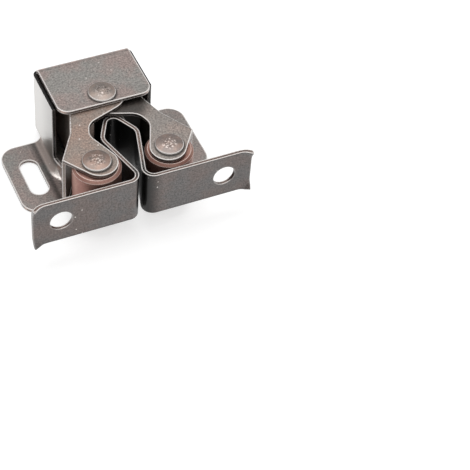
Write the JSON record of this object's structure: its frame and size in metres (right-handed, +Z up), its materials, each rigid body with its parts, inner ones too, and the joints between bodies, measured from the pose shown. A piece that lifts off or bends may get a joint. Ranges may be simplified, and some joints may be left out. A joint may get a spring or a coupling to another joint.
{
  "type": "double roller catch",
  "caption": "Sprung roller cabinet catch: two riveted arms with rollers grip the folded spear head of a strike plate.",
  "frame": {"origin": "bottom centre of the bounding box, on the plane the ears rest on", "axes": "+Z up from the mounting plane, -Y out of the housing towards the door, X across"},
  "size_m": [0.052, 0.041, 0.0206],
  "materials": {
    "antique_copper": "antique copper plate, dark",
    "bright_copper": "worn copper plate",
    "rivet_copper": "antique copper plate, rubbed",
    "spring_steel": "plain spring wire"
  },
  "bodies": {
    "housing": {"housing": "antique_copper", "pivot_rivet": "rivet_copper", "spring": "spring_steel"},
    "left_arm": {"left_arm": "antique_copper", "left_roller_rivet": "rivet_copper"},
    "right_arm": {"right_arm": "antique_copper", "right_roller_rivet": "rivet_copper"},
    "left_roller": {"left_roller": "bright_copper"},
    "right_roller": {"right_roller": "bright_copper"},
    "strike": {"strike": "antique_copper"}
  },
  "joints": [
    {"name": "strike_pull", "type": "slide", "parent": "housing", "child": "strike", "axis": [0, -1, 0], "range_m": [0, 0.008]},
    {"name": "left_arm_swing", "type": "hinge", "parent": "housing", "child": "left_arm", "pos_m": [0, 0.00695, 0], "axis": [0, 0, -1], "range_deg": [0, 8]},
    {"name": "right_arm_swing", "type": "hinge", "parent": "housing", "child": "right_arm", "pos_m": [0, 0.00695, 0], "axis": [0, 0, 1], "range_deg": [0, 8], "deforming": ["spring"]},
    {"name": "left_roller_spin", "type": "hinge", "parent": "left_arm", "child": "left_roller", "pos_m": [-0.00863, -0.01236, 0], "axis": [0, 0, 1], "continuous": true},
    {"name": "right_roller_spin", "type": "hinge", "parent": "right_arm", "child": "right_roller", "pos_m": [0.00863, -0.01236, 0], "axis": [0, 0, 1], "continuous": true}
  ],
  "couplings": [
    {"joint": "left_arm_swing", "follows": "strike_pull", "rad_per_m": 17},
    {"joint": "right_arm_swing", "follows": "strike_pull", "rad_per_m": 17}
  ]
}
